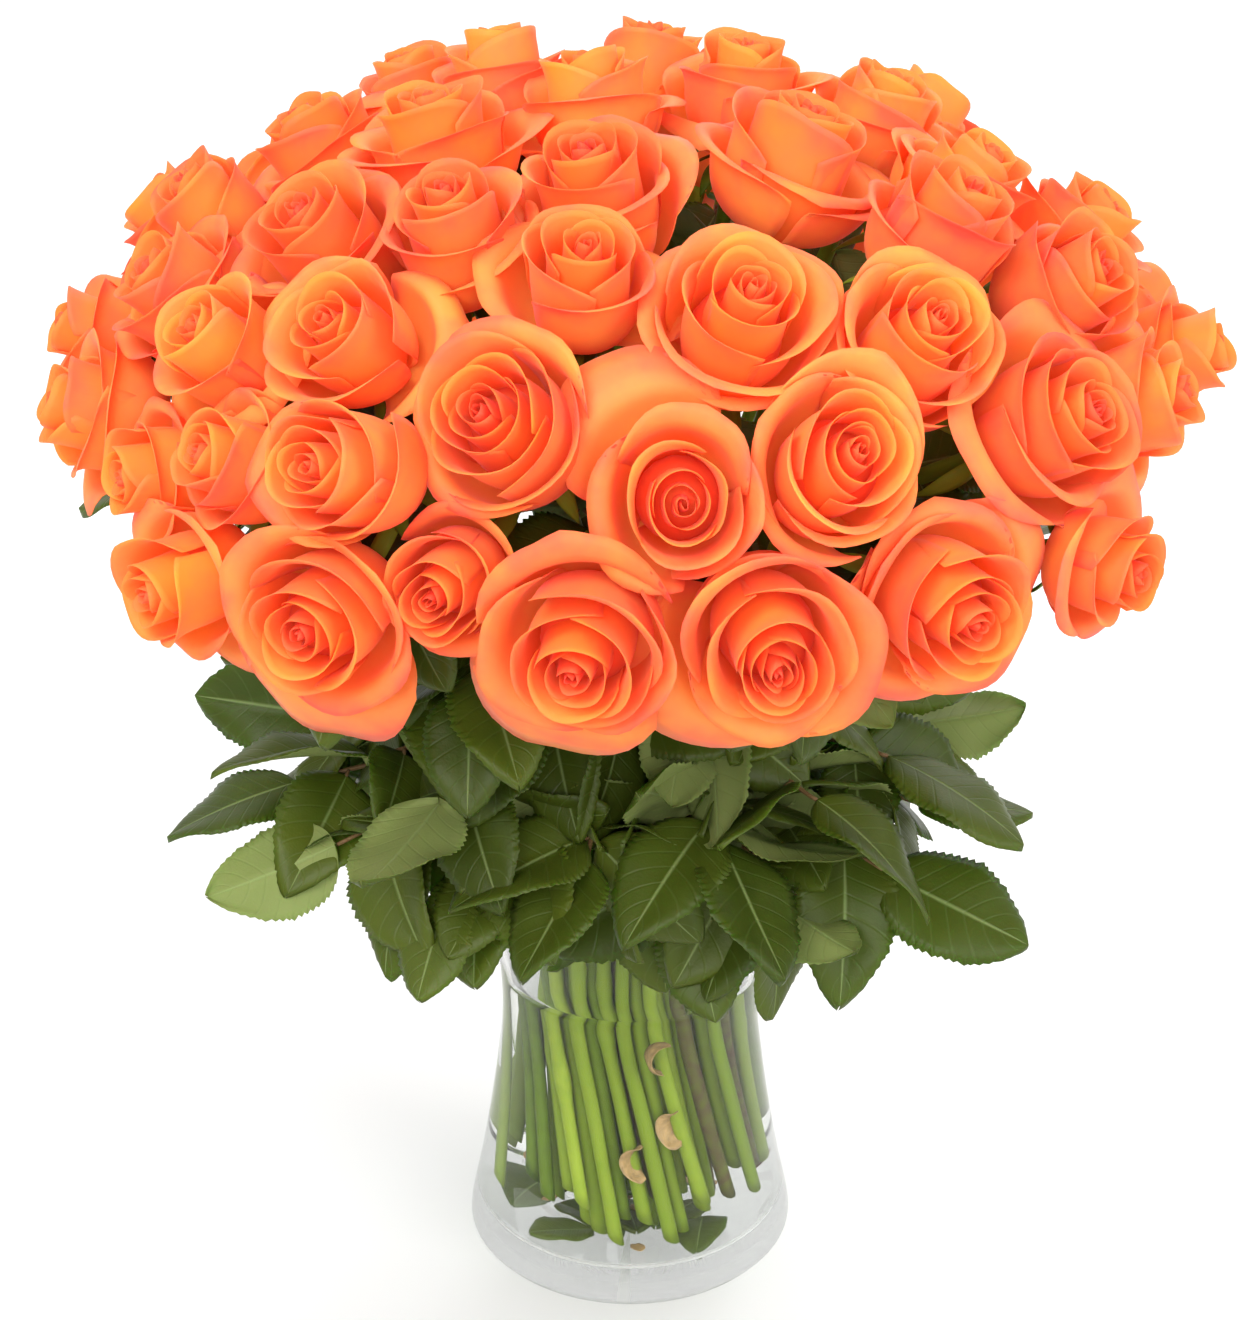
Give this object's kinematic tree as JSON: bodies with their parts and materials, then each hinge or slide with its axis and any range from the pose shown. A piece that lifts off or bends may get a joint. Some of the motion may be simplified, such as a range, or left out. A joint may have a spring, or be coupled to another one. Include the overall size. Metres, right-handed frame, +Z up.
{
  "type": "roses in a vase",
  "caption": "Dome of cut roses with a collar of leaves, standing in water in a waisted clear glass vase.",
  "frame": {"origin": "middle of the vase's foot, on the surface that it stands on", "axes": "+Z up along the vase's axis, -Y towards the front of the bouquet, +X to its right"},
  "size_m": [0.4152, 0.4188, 0.4937],
  "materials": {
    "vase_glass": "clear polished glass with a thick foot",
    "water": "clear still water",
    "petals": "velvety orange petals with peach bodies and coral rims, on green stems",
    "leaves": "dark green rose leaves with a soft waxy shine and pale veins"
  },
  "bodies": {
    "root": {"vase": "vase_glass", "water": "water", "rose_01": "petals", "rose_02": "petals", "rose_03": "petals", "rose_04": "petals", "rose_05": "petals", "rose_06": "petals", "rose_07": "petals", "rose_08": "petals", "rose_09": "petals", "rose_10": "petals", "rose_11": "petals", "rose_12": "petals", "rose_13": "petals", "rose_14": "petals", "rose_15": "petals", "rose_16": "petals", "rose_17": "petals", "rose_18": "petals", "rose_19": "petals", "rose_20": "petals", "rose_21": "petals", "rose_22": "petals", "rose_23": "petals", "rose_24": "petals", "rose_25": "petals", "rose_26": "petals", "rose_27": "petals", "rose_28": "petals", "rose_29": "petals", "rose_30": "petals", "rose_31": "petals", "rose_32": "petals", "rose_33": "petals", "rose_34": "petals", "rose_35": "petals", "rose_36": "petals", "rose_37": "petals", "rose_38": "petals", "rose_39": "petals", "rose_40": "petals", "rose_41": "petals", "rose_42": "petals", "rose_43": "petals", "rose_44": "petals", "rose_45": "petals", "rose_46": "petals", "rose_47": "petals", "rose_48": "petals", "rose_49": "petals", "rose_50": "petals", "rose_51": "petals", "rose_52": "petals", "leaf_spray_01": "leaves", "leaf_spray_02": "leaves", "leaf_spray_03": "leaves", "leaf_spray_04": "leaves", "leaf_spray_05": "leaves", "leaf_spray_06": "leaves"}
  },
  "joints": []
}
